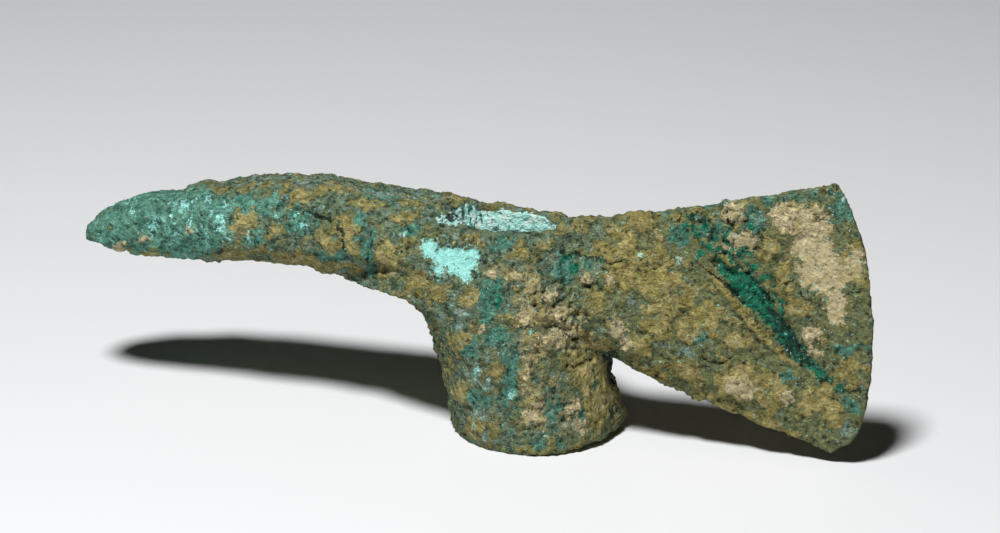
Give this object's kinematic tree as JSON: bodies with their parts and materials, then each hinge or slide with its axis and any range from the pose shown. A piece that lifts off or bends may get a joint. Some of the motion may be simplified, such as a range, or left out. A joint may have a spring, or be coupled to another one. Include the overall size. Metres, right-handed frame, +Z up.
{
  "type": "shaft-hole axe head",
  "caption": "Cast bronze shaft-hole axe head with a fan-shaped blade, a long blunt pick arm and a short round shaft tube, with an old green and earthy crust.",
  "frame": {"origin": "on the ground under the middle of the head's bounding box, as it stands on the rim of its shaft tube", "axes": "+Z up along the shaft side, +X towards the blade's cutting edge, -X towards the pick's point"},
  "size_m": [0.1936, 0.04, 0.0684],
  "materials": {
    "crusted_bronze": "cast bronze under a rough matt crust of olive-brown earth, dark green and turquoise corrosion"
  },
  "bodies": {
    "root": {"axe_head": "crusted_bronze"}
  },
  "joints": []
}
